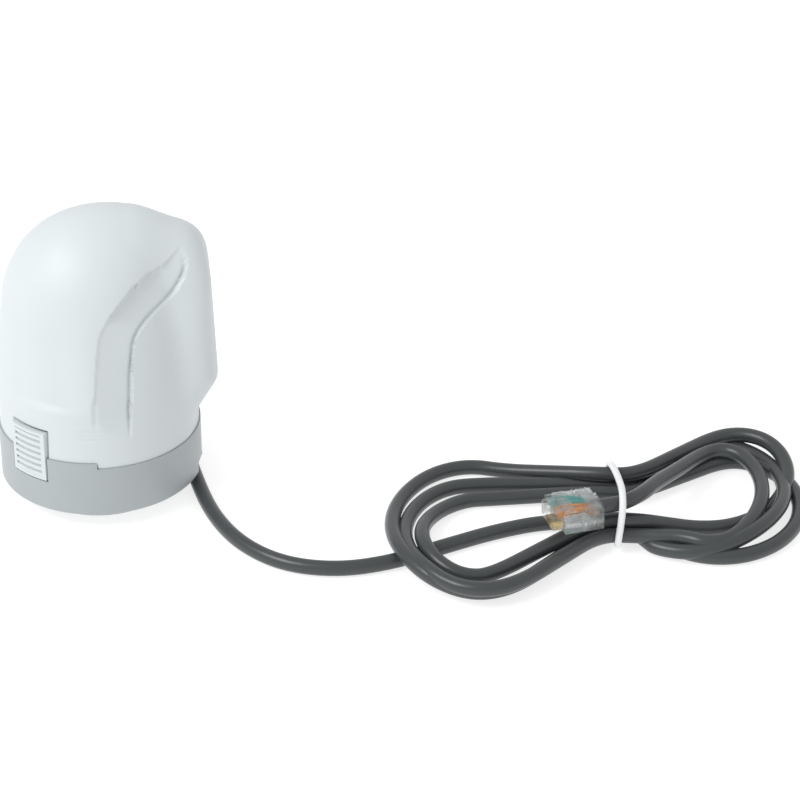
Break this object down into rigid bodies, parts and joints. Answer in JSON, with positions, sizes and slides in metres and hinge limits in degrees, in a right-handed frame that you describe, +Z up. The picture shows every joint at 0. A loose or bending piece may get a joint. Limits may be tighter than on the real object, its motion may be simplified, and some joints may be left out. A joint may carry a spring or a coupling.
{
  "type": "motorized valve actuator",
  "caption": "Compact motor-driven actuator for a threaded radiator or manifold valve, with a release latch, a geared lead-screw plunger and a tied-up cord ending in a clear modular plug.",
  "frame": {"origin": "on the valve axis, at the mouth of the threaded collar, which is also the plane it stands on", "axes": "+Z up along the valve axis, away from the valve; -Y towards the release latch; the hood's bulge points between +X and +Y"},
  "size_m": [0.1544, 0.1228, 0.0662],
  "materials": {
    "hood_white": "satin",
    "ring_grey": "satin",
    "cord_grey": "satin",
    "tie_white": "satin",
    "clear_plug": "gloss",
    "contact_gold": "polished",
    "wire_coat": "satin",
    "inner_plastic": "satin",
    "gear_acetal": "satin",
    "dark_plastic": "satin",
    "steel": "brushed",
    "board_green": "satin",
    "seal_black": "matte"
  },
  "bodies": {
    "housing": {"housing_shell": "hood_white", "base_ring": "ring_grey", "valve_adapter": "ring_grey", "cable_gland": "dark_plastic", "chassis": "inner_plastic", "gear_cover": "inner_plastic", "housing_screw_0": "steel", "housing_screw_1": "steel", "thrust_washer": "steel", "axle_one": "steel", "axle_two": "steel", "motor_can": "steel", "motor_cap": "dark_plastic", "circuit_board": "board_green", "board_chip": "dark_plastic", "board_relay": "dark_plastic", "board_socket": "inner_plastic", "wiper_seal": "seal_black", "latch_spring": "steel", "cable": "cord_grey", "cable_tail": "cord_grey", "cable_hank": "cord_grey", "hank_tie": "tie_white", "plug_body": "clear_plug", "plug_tab": "clear_plug", "plug_contacts": "contact_gold", "plug_wires": "wire_coat"},
    "plunger": {"output_plunger": "gear_acetal"},
    "spindle": {"spindle_gear": "gear_acetal"},
    "second_gear": {"gear_two": "gear_acetal"},
    "first_gear": {"gear_one": "gear_acetal"},
    "rotor": {"motor_pinion": "steel"},
    "latch": {"release_latch": "hood_white", "locking_slide": "inner_plastic"}
  },
  "joints": [
    {"name": "plunger_stroke", "type": "slide", "parent": "housing", "child": "plunger", "axis": [0, 0, -1], "range_m": [0, 0.004]},
    {"name": "spindle_spin", "type": "hinge", "parent": "housing", "child": "spindle", "pos_m": [0, 0, 0.0235], "axis": [0, 0, 1], "range_deg": [0, 1440]},
    {"name": "second_gear_spin", "type": "hinge", "parent": "housing", "child": "second_gear", "pos_m": [0.012, 0, 0.027], "axis": [0, 0, 1], "range_deg": [-5760, 0]},
    {"name": "first_gear_spin", "type": "hinge", "parent": "housing", "child": "first_gear", "pos_m": [0.00913, 0.00789, 0.03], "axis": [0, 0, 1], "range_deg": [0, 14400]},
    {"name": "rotor_spin", "type": "hinge", "parent": "housing", "child": "rotor", "pos_m": [0.00076, 0.00863, 0.03], "axis": [0, 0, 1], "range_deg": [-36000, 0]},
    {"name": "latch_press", "type": "slide", "parent": "housing", "child": "latch", "axis": [0, 1, 0], "range_m": [0, 0.002], "stiffness_N_per_m": 400, "springref_m": -0.001, "deforming": ["latch_spring"]}
  ],
  "couplings": [
    {"joint": "spindle_spin", "follows": "plunger_stroke", "rad_per_m": 6283.2},
    {"joint": "second_gear_spin", "follows": "plunger_stroke", "rad_per_m": -25133},
    {"joint": "first_gear_spin", "follows": "plunger_stroke", "rad_per_m": 62832},
    {"joint": "rotor_spin", "follows": "plunger_stroke", "rad_per_m": -157080}
  ]
}
